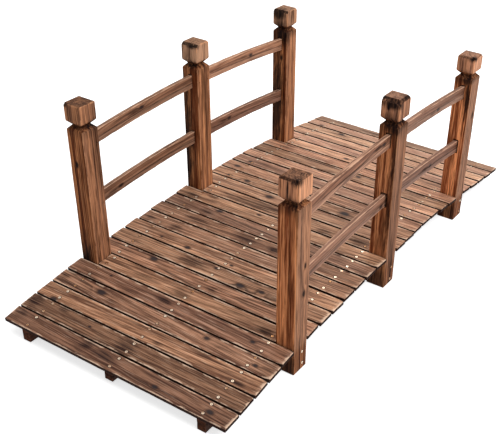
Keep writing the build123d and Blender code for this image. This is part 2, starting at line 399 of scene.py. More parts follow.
def woodMaterial(name, look):
    material, pen, shader = newMaterial(name)
    place = pen.attribute("place")["Vector"]
    seed = pen.attribute("grainSeed")["Vector"]
    halfSize = pen.attribute("halfSize")["Vector"]
    seedX, seedY, seedZ = pen.split(seed)

    marks = [pen.group(knotGroup, {"Offset": pen.attribute(slot)["Vector"], "Place": place})
             for slot in knotSlots]
    swirl = pen.plus(*(mark["Swirl"] for mark in marks))
    heart = pen.largest(*(mark["Heart"] for mark in marks))
    rim = pen.largest(*(mark["Rim"] for mark in marks))
    grain = pen.group(ringGroup, {
        "Place": place, "Seed": seed, "Swirl": swirl, "Ring Width": look["ringWidth"],
        "Pith Depth": look["pithDepth"], "Fineness": look["fineness"]})

    # this attribute holds burns and also the painted shade of the posts' mortises, holes and feet, all drawn
    # in the scorch colour
    burnsAndShade = [pen.attribute("char")["Fac"]]
    for slot in scorchSlots:
        offset = pen.attribute(slot)["Vector"]
        burnsAndShade.append(pen.group(scorchGroup, {"Offset": offset, "Place": place})["Mask"])
    # the burn takes the soft grain more than the hard grain
    bite = pen.ramp(grain["Streak"], *timberMix["hardGrain"], 1 - look["scorchGrain"], 1.0)
    scorch = pen.times(pen.largest(*burnsAndShade), bite)

    faded = pen.attribute("fade")["Fac"]
    usual = look["wearWidth"]
    wearWidth = pen.maths("MULTIPLY_ADD", faded, timberMix["fadedWear"] * usual, usual)
    # the strip of painted gap shade beside the long edges is wider on faded boards
    rimWidth = pen.maths("MULTIPLY_ADD", faded, timberMix["fadedRim"], timberMix["rimWidth"])
    wearAndGapShade = pen.group(wearAndGapShadeGroup, {
        "Place": place, "Half Size": halfSize, "Width": wearWidth, "Rim": rimWidth, "Seed": seed})

    color = pen.blend(pen.ramp(grain["Streak"], *look["streakSpan"]), look["pale"], look["brown"])
    color = pen.blend(pen.times(faded, timberMix["fadedShare"]), color, look["faded"])
    fibre = pen.ramp(grain["Fibre"], *timberMix["fibreSpan"], 0.0, look["fibreShare"])
    color = pen.blend(fibre, color, look["line"])
    glint = pen.ramp(grain["Fibre"], *timberMix["glintSpan"], look["glintShare"], 0.0)
    color = pen.blend(glint, color, look["worn"])
    color = pen.blend(pen.times(grain["Rings"], look["lineShare"]), color, look["line"])
    patch = pen.ramp(grain["Patch"], *timberMix["patchSpan"], 0.0, look["patchShare"])
    color = pen.blend(patch, color, look["line"])
    # each timber is a little darker or lighter, redder or greyer
    tone = pen.maths("MULTIPLY_ADD", seedX, timberMix["toneRange"], timberMix["darkest"])
    green = pen.times(tone, pen.ramp(seedY, 0.0, 1.0, *timberMix["greenSpan"]))
    blue = pen.times(tone, pen.ramp(seedZ, 0.0, 1.0, *timberMix["blueSpan"]))
    color = pen.blend(1.0, color, pen.join(tone, green, blue), "MULTIPLY")
    # the side colour over the Depth mask is painted shade of the gaps between boards
    layers = ((rim, timberMix["rimShare"], "line"), (wearAndGapShade["Wear"], look["wearShare"], "worn"),
              (wearAndGapShade["Depth"], look["sideShare"], "side"), (scorch, look["scorchShare"], "scorch"),
              (heart, timberMix["heartShare"], "scorch"))
    for mask, share, label in layers:
        color = pen.blend(pen.times(mask, share), color, look[label])
    pen.feed(shader["Base Color"], color)

    pen.feed(shader["Roughness"], pen.ramp(grain["Streak"], *timberMix["roughSpan"], *look["roughness"]))
    dull = pen.largest(wearAndGapShade["Depth"], scorch)
    gloss = pen.ramp(dull, 0.0, 1.0, timberMix["gloss"], timberMix["burntGloss"])
    pen.feed(shader["Specular IOR Level"], gloss)
    relief = pen.plus(pen.times(grain["Rings"], timberMix["ringRelief"]),
                      pen.times(grain["Fibre"], timberMix["fibreRelief"]))
    relief = pen.minus(relief, pen.times(heart, timberMix["knotRelief"]))
    bump = pen.add("ShaderNodeBump", named={
        "Strength": timberMix["bumpStrength"], "Distance": look["relief"], "Height": relief})
    pen.feed(shader["Normal"], bump.outputs[0])
    return material


screwLook = {
    "bright": paint(255, 240, 220), "dull": paint(246, 212, 166), "tarnished": paint(190, 134, 84),
    "metallic": 0.9, "plating": 900.0, "platingSpan": (0.35, 0.7), "tarnish": 34.0,
    "tarnishSpan": (0.44, 0.66), "roughSpan": (0.3, 0.7), "roughness": (0.3, 0.5),
    "sinkDark": paint(34, 17, 11), "sinkPale": paint(70, 38, 24), "bruise": 500.0,
    "sinkRoughness": (0.7, 0.85),
}


def metalMaterial():
    # pale yellow plating, a little blotched, and tarnished on some heads
    material, pen, shader = newMaterial("platedScrew")
    place = pen.add("ShaderNodeTexCoord").outputs["Object"]
    spots = pen.noise(place, scale=screwLook["plating"])
    plating = pen.blend(pen.ramp(spots, *screwLook["platingSpan"]), screwLook["bright"], screwLook["dull"])
    tarnish = pen.ramp(pen.noise(place, scale=screwLook["tarnish"], detail=0.0), *screwLook["tarnishSpan"])
    pen.feed(shader["Base Color"], pen.blend(tarnish, plating, screwLook["tarnished"]))
    pen.feed(shader["Roughness"], pen.ramp(spots, *screwLook["roughSpan"], *screwLook["roughness"]))
    shader["Metallic"].default_value = screwLook["metallic"]
    return material


def countersinkShadeMaterial():
    # painted shade of the countersink: a mottled dark wood colour for the flat collar around a screw head
    material, pen, shader = newMaterial("screwSink")
    spots = pen.noise(pen.add("ShaderNodeTexCoord").outputs["Object"], scale=screwLook["bruise"])
    pen.feed(shader["Base Color"], pen.blend(spots, screwLook["sinkDark"], screwLook["sinkPale"]))
    pen.feed(shader["Roughness"], pen.ramp(spots, 0.0, 1.0, *screwLook["sinkRoughness"]))
    return material


deckWood = woodMaterial("deckWood", deckLook)
postWood = woodMaterial("postWood", postLook)
railWood = woodMaterial("railWood", railLook)
stringerWood = woodMaterial("stringerWood", stringerLook)
platedScrew = metalMaterial()
screwSink = countersinkShadeMaterial()
print("materials ready")


# Sawn timber as geometry nodes

sawCut = {
    "loopsAtArris": 4.0, "arrisZone": 2.2, "seedStep": 3.7, "nickAlong": 30.0, "nickAcross": 3.0,
    "nickUp": 5.0, "nickSpan": (0.4, 0.75), "nickDepth": (0.6, 1.9), "swayAlong": 7.0, "liftAlong": 4.0,
    "liftShift": 11.0,
}


def sawnTimber():
    # a straight bar with two loops at each arris, eased and nicked edges, and the wander of a saw cut
    pen, source, sink = newGroup(
        "sawnTimber", "GeometryNodeTree",
        {"Length": 0.68, "Width": 0.05, "Thickness": 0.01,
         "Loops Along": 65, "Loops Across": 13, "Loops Deep": 7, "Arris": 1.2 * mm,
         "Wander": 0.4 * mm, "Cup": 0.2 * mm, "Skew": 0.0, "Seed": 0.0, "Material": "Material"},
        {"Geometry": "Geometry"})
    size = pen.join(source["Length"], source["Width"], source["Thickness"])
    half = pen.scaled(size, 0.5)
    loopCounts = [source[label] for label in ("Loops Along", "Loops Across", "Loops Deep")]
    cube = pen.add("GeometryNodeMeshCube", size, *loopCounts)
    share = pen.vectors("DIVIDE", pen.add("GeometryNodeInputPosition").outputs[0], half)
    # the outer loops are drawn together into a narrow zone along each arris
    spans = pen.vectors("SUBTRACT", pen.join(*loopCounts), (1.0, 1.0, 1.0))
    edgeShare = pen.vectors("DIVIDE", (sawCut["loopsAtArris"],) * 3, spans)
    innerShare = pen.vectors("SUBTRACT", (1.0, 1.0, 1.0), edgeShare)
    zone = pen.times(source["Arris"], sawCut["arrisZone"])
    zoneSize = pen.join(zone, zone, zone)
    reach = pen.vectors("ABSOLUTE", share)
    inside = pen.vectors("DIVIDE", pen.vectors("MINIMUM", reach, innerShare), innerShare)
    inside = pen.vectors("MULTIPLY", inside, pen.vectors("SUBTRACT", half, zoneSize))
    beyond = pen.vectors("MAXIMUM", pen.vectors("SUBTRACT", reach, innerShare), (0.0, 0.0, 0.0))
    beyond = pen.vectors("MULTIPLY", pen.vectors("DIVIDE", beyond, edgeShare), zoneSize)
    flat = pen.vectors("MULTIPLY", pen.vectors("ADD", inside, beyond), pen.vectors("SIGN", share))
    stored = pen.add("GeometryNodeStoreNamedAttribute", data_type="FLOAT_VECTOR", domain="POINT", named={
        "Geometry": cube.outputs["Mesh"], "Name": "place", "Value": flat})
    x, y, z = pen.split(flat)
    shareX, shareY, shareZ = pen.split(pen.vectors("DIVIDE", flat, half))
    seedStep = pen.times(source["Seed"], sawCut["seedStep"])

    side = pen.times(pen.maths("SIGN", y), sawCut["nickAcross"])
    face = pen.plus(pen.times(pen.maths("SIGN", z), sawCut["nickUp"]), seedStep)
    nick = pen.noise(pen.join(pen.times(x, sawCut["nickAlong"]), side, face))
    nick = pen.ramp(nick, *sawCut["nickSpan"], *sawCut["nickDepth"])
    arris = pen.times(source["Arris"], nick)
    inset = pen.vectors("SUBTRACT", half, pen.join(arris, arris, arris))
    inner = pen.vectors("MAXIMUM", pen.vectors("MINIMUM", flat, inset), pen.scaled(inset, -1.0))
    outward = pen.vectors("NORMALIZE", pen.vectors("SUBTRACT", flat, inner))
    eased = pen.vectors("ADD", inner, pen.scaled(outward, arris))

    swaySpot = pen.join(pen.times(x, sawCut["swayAlong"]), pen.plus(shareY, seedStep), seedStep)
    sway = pen.minus(pen.noise(swaySpot), 0.5)
    liftSpot = pen.join(pen.times(x, sawCut["liftAlong"]), pen.plus(shareZ, sawCut["liftShift"]), seedStep)
    lift = pen.minus(pen.noise(liftSpot, detail=1.0), 0.5)
    moveX = pen.times(pen.times(shareX, shareY), source["Skew"])
    moveY = pen.times(sway, pen.times(source["Wander"], 2.0))
    cupped = pen.times(pen.times(shareY, shareY), source["Cup"])
    moveZ = pen.plus(pen.times(lift, source["Wander"]), cupped)
    place = pen.vectors("ADD", eased, pen.join(moveX, moveY, moveZ))
    moved = pen.add("GeometryNodeSetPosition", named={"Geometry": stored.outputs[0], "Position": place})
    smooth = pen.add("GeometryNodeSetShadeSmooth", named={"Geometry": moved.outputs[0]})
    real = pen.add("GeometryNodeRealizeInstances", named={"Geometry": smooth.outputs[0]})
    dressed = pen.add("GeometryNodeSetMaterial", named={
        "Geometry": real.outputs[0], "Material": source["Material"]})
    pen.feed(sink["Geometry"], dressed.outputs[0])
    return pen.tree


timberTree = sawnTimber()


def runTree(name, tree, settings, startMesh=None):
    # evaluates a geometry tree with these inputs and keeps the result as a plain mesh object
    carrier = addObject(name, startMesh or bpy.data.meshes.new(name))
    modifier = carrier.modifiers.new("make", "NODES")
    modifier.node_group = tree
    for item in tree.interface.items_tree:
        if item.in_out == "INPUT" and item.name in settings:
            modifier[item.identifier] = settings[item.name]
    return settled(carrier, name)


def settled(carrier, name):
    # an object as its modifiers leave it, as a plain mesh object of this name
    graph = bpy.context.evaluated_depsgraph_get()
    mesh = bpy.data.meshes.new_from_object(carrier.evaluated_get(graph), depsgraph=graph)
    bpy.data.objects.remove(carrier)
    mesh.name = name
    return addObject(name, mesh)


def sawBar(name, size, style, material, seed, cup=0.0, skew=0.0):
    settings = dict(zip(("Length", "Width", "Thickness"), size))
    settings.update(zip(("Loops Along", "Loops Across", "Loops Deep"), style["loops"]))
    settings.update({"Arris": style["arris"], "Wander": style["wander"], "Cup": cup, "Skew": skew,
                     "Seed": seed, "Material": material})
    return runTree(name, timberTree, settings)


def vertexArray(mesh, attribute=None):
    source = mesh.attributes[attribute].data if attribute else mesh.vertices
    values = np.zeros(len(mesh.vertices) * 3, np.float32)
    source.foreach_get("vector" if attribute else "co", values)
    return values.reshape(-1, 3)


def moveVertices(mesh, x, y, z):
    places = np.stack([x, y, z], axis=1)
    mesh.vertices.foreach_set("co", places.astype(np.float32).ravel())
    mesh.update()


def storeVector(mesh, name, values):
    layer = mesh.attributes.get(name) or mesh.attributes.new(name, "FLOAT_VECTOR", "POINT")
    layer.data.foreach_set("vector", np.ascontiguousarray(values, np.float32).ravel())


def dressTimber(piece, halfSize, seed, knots=(), scorches=(), fade=0.0, char=0.0):
    # stores what the wood material reads: size, seed, fading, charring together with painted shade, and each
    # mark's offset in mark sizes
    mesh = piece.data
    place = vertexArray(mesh, "place")
    for label, share in (("fade", fade), ("char", char)):
        layer = mesh.attributes.new(label, "FLOAT", "POINT")
        layer.data.foreach_set("value", np.broadcast_to(share, len(place)).astype(np.float32))
    storeVector(mesh, "halfSize", np.tile(halfSize, (len(place), 1)))
    storeVector(mesh, "grainSeed", np.tile(seed, (len(place), 1)))
    for slots, marks in ((knotSlots, knots), (scorchSlots, scorches)):
        for index, slot in enumerate(slots):
            if index < len(marks):
                spot, size = np.array(marks[index][0], float), np.array(marks[index][1], float)
                storeVector(mesh, slot, (place - spot * mm) / (size * mm))
            else:
                storeVector(mesh, slot, np.tile(noMark, (len(place), 1)))


def finish(piece, node):
    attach(piece, "root")
    if node:
        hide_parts(node)


def seedOf(rng):
    return [rng.random() for axis in range(3)]


def wobble(rng, reach):
    # a random step to either side
    return (rng.random() - 0.5) * 2 * reach


throughout = 400  # millimetres: a mark this deep shows on both faces of its timber
seedRange = 40  # how far apart the saw cuts of two timbers are drawn from their noise


# Deck boards

deckBoards = {
    "arris": 0.9 * mm, "wander": 0.5 * mm, "loops": (65, 13, 7), "cup": 0.3 * mm, "cupBias": 0.4,
    "endLoss": 7.0 * mm, "endSkew": 1.6 * mm, "evenBoards": 5, "evenShare": 0.1, "narrowing": 3.8 * mm,
    "nearTone": 0.26, "toneDrift": 0.45, "toneSpread": 0.1, "fadeDrift": 0.5, "leastFade": 0.3,
    "paleEnd": 9 * mm, "usualPaleEnd": 0.35, "knotShape": 0.62, "tilt": 0.003, "yaw": 0.0028, "seed": 27,
}
# Knots by board: millimetres across the bridge (left is plus), along the board's width, and the knot's size
boardKnots = {
    1: [(-283, -2, 9), (-131, -8, 7)], 2: [(134, 5, 4)], 3: [(283, -23, 10)],
    4: [(197, 3, 12), (-137, 9, 7), (-288, -3, 6)], 5: [(-239, 2, 6), (219, 10, 4)], 7: [(170, 13, 10)],
    8: [(-89, -11, 11), (-151, -4, 8), (5, 14, 6)], 9: [(130, -10, 8), (-19, -10, 5), (222, -8, 4)],
    12: [(171, 18, 9), (-60, 5, 5)], 13: [(65, 11, 5)], 15: [(102, 3, 12)],
    16: [(211, -10, 9), (278, -11, 6), (-130, -4, 13)], 17: [(293, -2, 9)], 18: [(279, -7, 6)],
    20: [(-40, 8, 7)], 22: [(60, -6, 7)], 23: [(-180, 6, 7)], 24: [(-90, -8, 8)], 25: [(186, 12, 9)],
    26: [(286, -16, 6), (-210, 6, 7)],
}
# Burnt patches by board: across the bridge, along the width, half length across, half width
boardScorches = {
    1: [(95, 11, 26, 16), (30, 5, 60, 14), (317, 4, 26, 18)],
    2: [(321, 5, 34, 26), (232, 18, 24, 12), (10, 0, 44, 26)], 3: [(-47, -11, 22, 9), (-286, -14, 30, 8)],
    4: [(324, 2, 22, 12), (-200, 2, 60, 8), (-318, 0, 34, 8)], 5: [(36, 6, 34, 14)],
    6: [(20, -6, 44, 26), (-240, -6, 34, 16)], 7: [(-37, -8, 26, 14)], 8: [(78, 2, 60, 20)],
    9: [(120, 26, 34, 7)], 10: [(220, -8, 34, 16), (311, -5, 24, 12)],
    11: [(23, 6, 60, 24), (187, 2, 60, 18), (-73, -1, 28, 16)], 12: [(196, -3, 34, 12)],
    13: [(231, 13, 30, 10), (289, -9, 36, 14)],
    14: [(110, 0, 150, 30), (-137, -14, 40, 16), (-237, -8, 44, 18)], 20: [(103, 18, 110, 12)],
    21: [(255, 5, 44, 18)], 25: [(180, 0, 60, 14)], 27: [(60, 0, 120, 14)],
}
# How light a board is, from 0 to 1, where it stands out from its neighbours
boardTones = {
    1: 0.0, 2: 0.03, 3: 0.43, 5: 0.22, 6: 0.45, 7: 0.5, 9: 0.6, 10: 0.33, 11: 0.31, 12: 0.2, 13: 0.56,
    14: 0.62, 15: 0.6, 16: 0.57, 18: 0.37, 19: 0.94, 20: 0.32, 21: 0.92, 22: 0.85, 23: 0.8, 24: 0.88,
    25: 1.0, 26: 0.62, 27: 0.2,
}
# How faded a board is all over, from 0 to 1, where it stands out from its neighbours
boardFades = {25: 0.8}
# How much a board's right end has worn pale, from 0 to 1
paleEnds = {1: 0.5, 3: 0.9, 4: 1.0, 5: 1.0, 7: 0.7, 8: 1.0, 9: 1.0, 10: 0.9, 11: 0.9, 12: 0.7, 13: 1.0}
# How far a board sits to the left, in millimetres: the near ones reach out to the right
boardShifts = {1: -1, 2: -2, 3: -2, 4: -1, 5: 2, 7: 2, 8: 1, 9: 3, 12: -2, 13: -2}


def deckBoard(name, number, rng):
    length = boxSize(name).y
    along = number / len(deckNames)
    even = betweenPosts(name) or number < deckBoards["evenBoards"]
    room = rng.random() * deckBoards["endLoss"] * (deckBoards["evenShare"] if even else 1.0)
    loss = deckBoards["endSkew"] + room
    width = boardWidth - deckBoards["wander"] - deckBoards["narrowing"] * number / len(deckNames)
    cup = (rng.random() - deckBoards["cupBias"]) * deckBoards["cup"]
    skew = wobble(rng, deckBoards["endSkew"] / 2)
    piece = sawBar(f"deckBoard{number:02d}", (length - loss, width, boardThickness), deckBoards, deckWood,
                   float(number), cup, skew)
    seed = seedOf(rng)
    spread = deckBoards["toneSpread"] * (seed[0] - 0.5)
    # painted light: a board without a listed tone grows lighter towards the far end, where more light falls
    # on the deck
    usual = deckBoards["nearTone"] + deckBoards["toneDrift"] * along + spread
    seed[0] = boardTones.get(number, usual)
    marks = [((-y, x, 0), (size, size * deckBoards["knotShape"], throughout))
             for y, x, size in boardKnots.get(number, ())]
    scorches = [((-y, x, 0), (long, wide, throughout)) for y, x, long, wide in boardScorches.get(number, ())]
    half = (length / 2, boardWidth / 2, boardThickness / 2)
    usual = deckBoards["fadeDrift"] * along * rng.random() + deckBoards["leastFade"] * along
    fade = boardFades.get(number, usual)
    atPaleEnd = half[0] - vertexArray(piece.data, "place")[:, 0] < deckBoards["paleEnd"]
    fade = np.where(atPaleEnd, np.maximum(fade, paleEnds.get(number, deckBoards["usualPaleEnd"])), fade)
    dressTimber(piece, half, seed, marks, scorches, fade)
    room = (loss - deckBoards["endSkew"]) / 2
    sideways = wobble(rng, room)
    if number in boardShifts:
        sideways = max(-room, min(room, boardShifts[number] * mm))
    tilt = Matrix.Rotation(boardTilt(name) + wobble(rng, deckBoards["tilt"]), 4, "Y")
    yaw = 0.0 if number in (1, len(deckNames)) else wobble(rng, deckBoards["yaw"])
    turn = Matrix.Rotation(yaw - math.pi / 2, 4, "Z")
    centre = boxCentre(name)
    piece.data.transform(Matrix.Translation((centre.x, sideways, centre.z)) @ tilt @ turn)
    finish(piece, name)


boardRng = random.Random(deckBoards["seed"])
for boardNumber, boardName in enumerate(deckNames, 1):
    deckBoard(boardName, boardNumber, boardRng)
print("deck boards made:", len(deckNames))


# Rails

rails = {
    "arris": 1.5 * mm, "wander": 0.35 * mm, "loops": (45, 13, 9), "endPlay": 0.6 * mm, "seed": 8,
    "patchReach": (150, 8), "patchSize": (34, 7, throughout), "knotStep": 30,
    "knotSize": (7, 4, throughout), "topEdge": 0.97, "topFade": 0.8, "lowerPart": 0.4, "lowerFade": 0.45,
}
# How light each rail is, from 0 to 1
railTones = {
    "top_rail_near_left": 0.11, "top_rail_far_left": 0.42, "lower_rail_near_left": 0.05,
    "lower_rail_far_left": 0.0, "top_rail_near_right": 0.26, "top_rail_far_right": 0.05,
    "lower_rail_near_right": 0.12, "lower_rail_far_right": 0.0,
}
# One dark grain stripe runs along each rail below its middle: centre up, its play, and its half size
railStripe = (-4, 2, (260, 3.2, throughout))


def archedRail(name, rng):
    low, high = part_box(name)
    centreZ, topRadius, bottomRadius = railArc(name)
    radius, height = (topRadius + bottomRadius) / 2, topRadius - bottomRadius
    startAngle, endAngle = (math.asin(x / radius) for x in (low.x, high.x))
    length = (endAngle - startAngle) * radius - 2 * rails["endPlay"]
    grainStart = rng.random() * seedRange
    piece = sawBar(pieceName(name), (length, height, high.y - low.y), rails, railWood, grainStart)
    up, play, stripeSize = railStripe
    stripe = ((0, up + rng.random() * play, 0), stripeSize)
    patchX, patchY = (wobble(rng, reach) for reach in rails["patchReach"])
    patch = ((patchX, patchY, 0), rails["patchSize"])
    knot = ((patchX + rails["knotStep"], patchY, 0), rails["knotSize"])
    # a pale top face, partly wear and partly painted highlight of the light from above, and paler below the
    # stripe
    rise = vertexArray(piece.data, "place")[:, 1] / height + 0.5
    fade = np.where(rise < rails["lowerPart"], rails["lowerFade"], 0.0)
    fade = np.where(rise > rails["topEdge"], rails["topFade"], fade)
    seed = (railTones[name], *seedOf(rng)[1:])
    dressTimber(piece, (length / 2, height / 2, (high.y - low.y) / 2), seed, [knot], [stripe, patch], fade)
    # the straight bar is stood on its edge and bent about a centre below the bridge
    piece.data.transform(Matrix.Rotation(math.pi / 2, 4, "X"))
    x, y, z = vertexArray(piece.data).astype(float).T
    angle, reach = (startAngle + endAngle) / 2 + x / radius, radius + z
    moveVertices(piece.data, np.sin(angle) * reach, y + (low.y + high.y) / 2, centreZ + np.cos(angle) * reach)
    finish(piece, name)


railRng = random.Random(rails["seed"])
for railName in railNames:
    archedRail(railName, railRng)
print("rails made:", len(railNames))


# Stringers

stringers = {
    "arris": 1.2 * mm, "wander": 0.5 * mm, "loops": (121, 9, 9), "seed": 3, "crownSpan": 0.3,
    "endSpan": 5 * mm, "knot": ((520, 8, 0), (8, 5, throughout)),
    "scorch": ((-700, 10, 0), (60, 30, throughout)),
}


def archedStringer(name, rng):
    low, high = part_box(name)
    corners = nodePoints(name)
    middleZ = (low.z + high.z) / 2
    crown = max(c.z for c in corners if abs(c.x) < stringers["crownSpan"] and c.z < middleZ)
    footX = max(c.x for c in corners if c.z < low.z + nearly and c.x < high.x - stringers["endSpan"])
    rise = crown - low.z
    soffitRadius = (footX ** 2 + rise ** 2) / (2 * rise)
    topRadius = high.z - archCentreZ
    size = (high.x - low.x, high.z - low.z, high.y - low.y)
    piece = sawBar(pieceName(name), size, stringers, stringerWood, rng.random() * seedRange)
    half = tuple(side / 2 for side in size)
    dressTimber(piece, half, seedOf(rng), [stringers["knot"]], [stringers["scorch"]])
    # the bar's height is stretched between the deck's arch and the soffit
    x, y, z = vertexArray(piece.data).astype(float).T
    top = archCentreZ + np.sqrt(topRadius ** 2 - x ** 2)
    soffit = crown - soffitRadius + np.sqrt(soffitRadius ** 2 - np.minimum(x ** 2, footX ** 2))
    soffit = np.where(np.abs(x) < footX, soffit, low.z)
    share = np.clip(y / size[1] + 0.5, 0, 1)
    moveVertices(piece.data, x, (low.y + high.y) / 2 - z, soffit + share * (top - soffit))
    finish(piece, name)


stringerRng = random.Random(stringers["seed"])
for stringerName in stringerNames:
    archedStringer(stringerName, stringerRng)
print("stringers made:", len(stringerNames))


# Posts

posts = {
    "grooveHeight": 22 * mm, "grooveDepth": 11 * mm, "arris": 1.5 * mm, "capStep": 7 * mm,
    "topStep": 1 * mm, "topSteps": 9, "sideSteps": 8, "cornerSteps": 3, "shaftStep": 11 * mm,
    "lidShares": (0.66, 0.33), "grooveShares": (0.06, 0.3, 0.55, 0.8, 0.97), "leastArris": 0.7,
    "arrisPlay": 0.9, "arrisWave": 22, "faceWave": 0.3 * mm, "waveAcross": 30, "waveUp": 7,
    "stillFoot": 2 * mm, "stillTop": 0.5 * mm, "waveSeeds": 50, "sharpAngle": 31,
    "scoopRoughness": (2.3, 60, 0.12), "seed": 6,
}
mortises = {
    "depth": 20 * mm, "sideRoom": 1.5 * mm, "topRoom": 4.0 * mm, "floorRoom": 0.2 * mm, "corner": 3 * mm,
    "cornerSteps": 4, "holeRadius": 2 * mm, "holeInset": 8 * mm, "holeSides": 16,
    "spare": 10 * mm,  # the cutters stand out of the face so that the cuts are open
}
# What time and flame did to the posts, with the painted shade of their mortises and feet and the painted
# sheen of their right faces: depths of surface, reaches, and shares from 0 to 1
postWeather = {
    "skin": 1 * mm, "lidSkin": 0.3 * mm, "leftFade": 0.3, "mortiseMargin": 5 * mm, "mortiseDark": 3 * mm,
    "scoopRim": 0.5 * mm, "scoopDark": 1.2 * mm, "bevelSkin": 0.4 * mm, "bevelStart": 0.2 * mm,
    "neckChar": 0.75, "neckDark": 0.6, "shoulderLap": 1 * mm, "shoulderReach": 30 * mm,
    "footReach": 80 * mm, "nearFootChar": 0.85, "rightFootChar": 0.62, "scorchSpread": 1.8,
    "knotShape": (1.3, 0.7, 0.7),
}
# Scoops left by the knife in the blocks: centre from the post's axis and top, and half sizes, in millimetres
postScoops = {
    "post_near_left": [((-27, 27, -1), (5, 5, 5))],
    "post_middle_left": [((-27, -13, -1), (8, 13, 8)), ((27, -27, 0), (6, 6, 5))],
    "post_far_left": [((-28, 10, 0), (6, 16, 6)), ((28, -27, 0), (7, 6, 6))],
    "post_near_right": [
        ((-29, -16, 1), (10, 10, 12)), ((-29, 12, 1), (7, 12, 7)), ((2, 28, 1), (16, 6, 5))],
    "post_middle_right": [((-27, -26, -6), (8, 8, 10)), ((-28, 14, -2), (8, 10, 9))],
    "post_far_right": [((-28, -17, 0), (8, 10, 9)), ((28, -26, 0), (8, 7, 7))],
}
# Burnt wood on each post: centre from the axis and top, half sizes across X, across Y and up
postScorches = {
    "post_near_left": [
        ((14, -20, -58), (16, 14, 11)), ((-26, 10, -455), (10, 24, 60)), ((-24, 24, -3), (8, 8, 7))],
    "post_middle_left": [
        ((-26, -8, -5), (10, 18, 6)), ((-20, 0, -60), (12, 26, 11)), ((-26, 18, -300), (8, 14, 180))],
    "post_far_left": [
        ((-27, -6, -76), (16, 24, 34)), ((-26, 8, -10), (12, 20, 16)), ((-26, 10, -320), (8, 22, 160))],
    "post_near_right": [
        ((-21, -18, -2), (14, 12, 9)), ((-22, -14, -59), (15, 20, 12)), ((-26.5, 3, -28), (7, 1.6, 26))],
    "post_middle_right": [
        ((-26, -4, -14), (10, 26, 9)), ((-22, -8, -70), (16, 26, 20)), ((-32, -20, -260), (7, 6, 210))],
    "post_far_right": [
        ((-20, -20, -2), (14, 12, 7)), ((-24, -8, -64), (14, 20, 16)), ((-28, -18, -118), (8, 7, 46))],
}
# Knots on the posts: centre from the axis and top, and size
postKnots = {
    "post_near_left": [((-26, 4, -160), 6)], "post_middle_left": [((-26, 4, -300), 6)],
    "post_near_right": [((6, -26, -300), 6), ((8, -26, -225), 5)],
    "post_middle_right": [((-26, 6, -24), 4)], "post_far_left": [((-26, -6, -150), 5)],
    "post_far_right": [((10, -26, -180), 6)],
}
# How burnt each post's shoulder is below the groove, from 0 to 1
shoulderChar = {
    "post_near_left": 0.55, "post_middle_left": 0.6, "post_far_left": 0.85,
    "post_near_right": 0.85, "post_middle_right": 1.0, "post_far_right": 0.95,
}
# Mortises that were cut too wide: extra room to the right of the rail and above it, in millimetres
looseMortises = {
    ("post_middle_right", "lower_rail_near_right"): (6, 3),
    ("post_middle_right", "top_rail_near_right"): (2, 1),
    ("post_far_right", "lower_rail_far_right"): (3, 1),
}
# How light each post's timber is, how much its right face is painted pale as sheen of the lamp on that side,
# and how much that face has darkened, from 0 to 1
postTones = {
    "post_near_left": (0.24, 0.5, 0.0), "post_middle_left": (0.4, 0.3, 0.0),
    "post_far_left": (0.5, 0.4, 0.0), "post_near_right": (0.69, 0.7, 0.48),
    "post_middle_right": (0.41, 0.6, 0.47), "post_far_right": (0.82, 0.8, 0.48),
}
# Each block's look: fading of its sides and of its top, charring of its top, and charring of the bevel of
# each edge: far, left, near, right. 0 is as the timber, and 1 is all that the posts' own look can do.
blockLooks = {
    "post_near_left": (0.4, 0.5, 0.65, (0.3, 0.7, 0.3, 0.0)),
    "post_middle_left": (1.2, 1.0, 0.4, (0.1, 0.5, 0.95, 0.0)),
    "post_far_left": (0.9, 1.1, 0.4, (0.2, 0.3, 0.95, 0.2)),
    "post_near_right": (0.4, 0.6, 0.78, (0.85, 0.9, 0.9, 0.6)),
    "post_middle_right": (0.5, 0.9, 0.45, (0.7, 0.5, 0.97, 0.95)),
    "post_far_right": (0.6, 0.9, 0.6, (0.5, 0.4, 0.75, 0.75)),
}


def postShape(name):
    # axis, half width, top, underside of the block, and the bevel of each edge: far, left, near, right
    low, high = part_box(name)
    centre, half = (low + high) / 2, (high.x - low.x) / 2
    points = nodePoints(name)
    lid = [p for p in points if p.z > high.z - nearly]
    bevels = (high.x - max(p.x for p in lid), high.y - max(p.y for p in lid),
              min(p.x for p in lid) - low.x, min(p.y for p in lid) - low.y)
    waist = half - posts["grooveDepth"]
    corners = [p for p in points if abs(abs(p.x - centre.x) - waist) < 2 * nearly
               and abs(abs(p.y - centre.y) - waist) < 2 * nearly]
    return centre, half, high.z, max(p.z for p in corners) + posts["grooveHeight"] / 2, bevels


